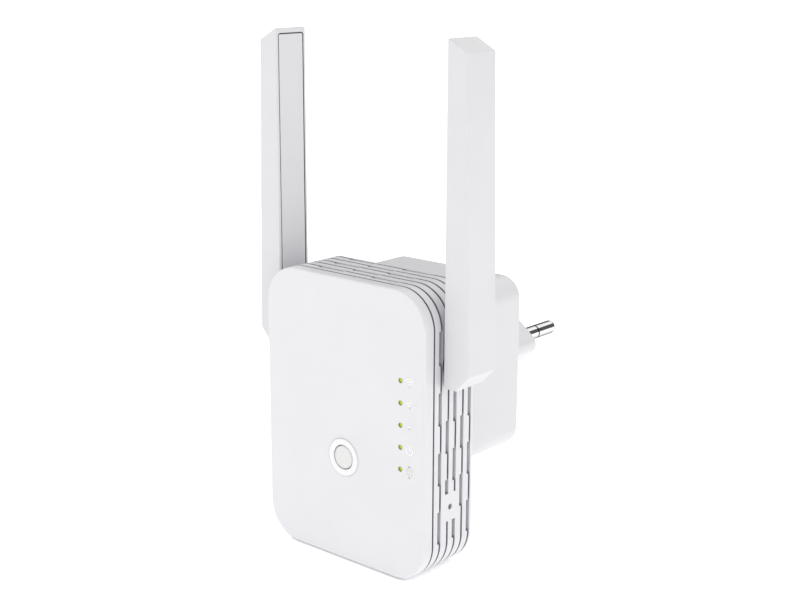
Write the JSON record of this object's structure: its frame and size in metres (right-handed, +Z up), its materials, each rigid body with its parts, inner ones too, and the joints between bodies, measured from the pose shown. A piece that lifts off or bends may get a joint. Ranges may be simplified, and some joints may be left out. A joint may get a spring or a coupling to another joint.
{
  "type": "wifi range extender",
  "caption": "Plug-in wifi range extender: flat vented body, push button, status lamps, deep power block with a contour mains plug, and folding side antennas.",
  "frame": {"origin": "middle of the plug's wall-side face, between the two mains pins", "axes": "+Y points at the wall along the pins, +Z is up towards the antenna tips, +X is to the right seen from the front"},
  "size_m": [0.0746, 0.082, 0.1412],
  "materials": {
    "white_shell": "fine satin white ABS",
    "button_white": "satin white",
    "gloss_ring": "polished white",
    "lamp_lens": "lit yellow-green light guide",
    "led": "LED package",
    "nickel_pin": "polished nickel plating",
    "brass_strip": "stamped brass",
    "circuit_board": "green solder mask",
    "chip_black": "moulded chip body",
    "thermal_rubber": "soft thermal pad",
    "can_steel": "tinned steel",
    "sink_aluminium": "extruded",
    "jack_plastic": "black PBT",
    "connector_gold": "gold plated",
    "switch_black": "black switch body",
    "plunger_plastic": "dark acetal",
    "hub_plastic": "white acetal",
    "ferrite": "sintered ferrite",
    "winding_tape": "yellow polyester tape",
    "capacitor_sleeve": "shrink sleeve",
    "choke_copper": "enamelled copper",
    "fuse_ceramic": "coated ceramic",
    "film_capacitor": "film capacitor box",
    "connector_white": "nylon",
    "lead_jacket": "PVC",
    "coax_jacket": "FEP jacket",
    "insulation_film": "polyester film",
    "screw_steel": "zinc plated",
    "plate_film": "printed film, blank"
  },
  "bodies": {
    "housing": {"front_cover": "white_shell", "button_ring": "gloss_ring", "vent_housing": "white_shell", "power_housing": "white_shell", "plug_base": "white_shell", "left_pin": "nickel_pin", "right_pin": "nickel_pin", "network_jack": "jack_plastic", "wps_switch": "switch_black", "light_guide": "lamp_lens", "led_chips": "led", "contact_strips": "brass_strip", "main_board": "circuit_board", "radio_chip": "chip_black", "thermal_pad": "thermal_rubber", "shield_can": "can_steel", "heat_sink": "sink_aluminium", "memory_chips": "chip_black", "lan_transformer": "chip_black", "coax_connectors": "connector_gold", "jack_contacts": "brass_strip", "reset_switch": "switch_black", "power_board": "circuit_board", "transformer_core": "ferrite", "transformer_winding": "winding_tape", "bulk_capacitor": "capacitor_sleeve", "output_capacitors": "capacitor_sleeve", "mains_choke": "choke_copper", "fuse": "fuse_ceramic", "bridge_rectifier": "chip_black", "suppression_capacitor": "film_capacitor", "dc_connector": "connector_white", "dc_leads": "lead_jacket", "insulation_sheet": "insulation_film", "board_screws": "screw_steel", "case_screws": "screw_steel", "housing_screws": "screw_steel", "rating_plate": "plate_film", "right_body_coax": "coax_jacket", "left_body_coax": "coax_jacket"},
    "left_antenna": {"left_antenna_shell": "white_shell", "left_antenna_cover": "white_shell", "left_hinge_hub": "hub_plastic", "left_friction_washer": "can_steel", "left_retaining_clip": "can_steel", "left_antenna_element": "circuit_board", "left_antenna_coax": "coax_jacket"},
    "right_antenna": {"right_antenna_shell": "white_shell", "right_antenna_cover": "white_shell", "right_hinge_hub": "hub_plastic", "right_friction_washer": "can_steel", "right_retaining_clip": "can_steel", "right_antenna_element": "circuit_board", "right_antenna_coax": "coax_jacket"},
    "button": {"wps_button": "button_white"},
    "button_plunger": {"wps_plunger": "plunger_plastic"},
    "reset_button": {"reset_plunger": "plunger_plastic"}
  },
  "joints": [
    {"name": "left_antenna_fold", "type": "hinge", "parent": "housing", "child": "left_antenna", "pos_m": [-0.0282, -0.05112, 0.0082], "axis": [1, 0, 0], "range_deg": [0, 180]},
    {"name": "right_antenna_fold", "type": "hinge", "parent": "housing", "child": "right_antenna", "pos_m": [0.0282, -0.05112, 0.0082], "axis": [1, 0, 0], "range_deg": [0, 180]},
    {"name": "button_press", "type": "slide", "parent": "housing", "child": "button", "axis": [0, 1, 0], "range_m": [0, 0.0003], "stiffness_N_per_m": 2000, "springref_m": -0.0001},
    {"name": "button_plunger_press", "type": "slide", "parent": "housing", "child": "button_plunger", "axis": [0, 1, 0], "range_m": [0, 0.0003]},
    {"name": "reset_press", "type": "slide", "parent": "housing", "child": "reset_button", "axis": [-1, 0, 0], "range_m": [0, 0.00025], "stiffness_N_per_m": 2000, "springref_m": -0.0001}
  ],
  "couplings": [
    {"joint": "button_plunger_press", "follows": "button_press", "ratio": 1}
  ]
}
